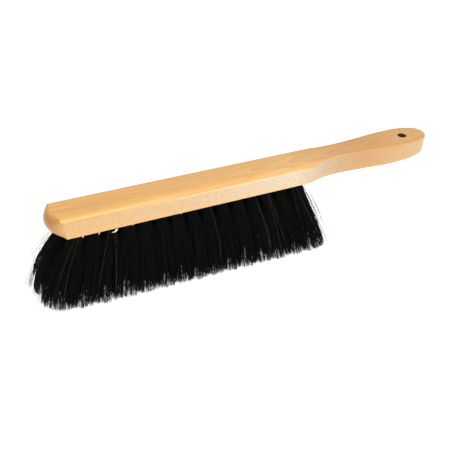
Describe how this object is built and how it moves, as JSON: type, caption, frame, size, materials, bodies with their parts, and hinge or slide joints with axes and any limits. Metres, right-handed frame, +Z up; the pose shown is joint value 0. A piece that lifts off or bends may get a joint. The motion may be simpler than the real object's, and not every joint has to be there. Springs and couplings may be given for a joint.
{
  "type": "bee brush",
  "caption": "Long hand brush: one pale hardwood board with rounded nose and paddle handle with a hang hole, and staggered rows of black horsehair tufts stapled into its underside",
  "frame": {"origin": "on the plane of the hair tips, under the middle of the whole brush", "axes": "+X along the brush from the nose towards the handle's tip, +Y towards the side with the rear row, +Z up from the hair tips to the top of the board"},
  "size_m": [0.3644, 0.0636, 0.0775],
  "materials": {
    "lacquered_maple": "clear gloss lacquer",
    "black_horsehair": "satin fibre",
    "steel_wire": "drawn wire"
  },
  "bodies": {
    "root": {"handle_block": "lacquered_maple", "tuft_front_01": "black_horsehair", "tuft_front_02": "black_horsehair", "tuft_front_03": "black_horsehair", "tuft_front_04": "black_horsehair", "tuft_front_05": "black_horsehair", "tuft_front_06": "black_horsehair", "tuft_front_07": "black_horsehair", "tuft_front_08": "black_horsehair", "tuft_front_09": "black_horsehair", "tuft_front_10": "black_horsehair", "tuft_front_11": "black_horsehair", "tuft_front_12": "black_horsehair", "tuft_front_13": "black_horsehair", "tuft_front_14": "black_horsehair", "tuft_front_15": "black_horsehair", "tuft_middle_01": "black_horsehair", "tuft_middle_02": "black_horsehair", "tuft_middle_03": "black_horsehair", "tuft_middle_04": "black_horsehair", "tuft_middle_05": "black_horsehair", "tuft_middle_06": "black_horsehair", "tuft_middle_07": "black_horsehair", "tuft_middle_08": "black_horsehair", "tuft_middle_09": "black_horsehair", "tuft_middle_10": "black_horsehair", "tuft_middle_11": "black_horsehair", "tuft_middle_12": "black_horsehair", "tuft_middle_13": "black_horsehair", "tuft_middle_14": "black_horsehair", "tuft_middle_15": "black_horsehair", "tuft_middle_16": "black_horsehair", "tuft_rear_01": "black_horsehair", "tuft_rear_02": "black_horsehair", "tuft_rear_03": "black_horsehair", "tuft_rear_04": "black_horsehair", "tuft_rear_05": "black_horsehair", "tuft_rear_06": "black_horsehair", "tuft_rear_07": "black_horsehair", "tuft_rear_08": "black_horsehair", "tuft_rear_09": "black_horsehair", "tuft_rear_10": "black_horsehair", "tuft_rear_11": "black_horsehair", "tuft_rear_12": "black_horsehair", "tuft_rear_13": "black_horsehair", "tuft_rear_14": "black_horsehair", "tuft_rear_15": "black_horsehair", "staples_front": "steel_wire", "staples_middle": "steel_wire", "staples_rear": "steel_wire"}
  },
  "joints": []
}
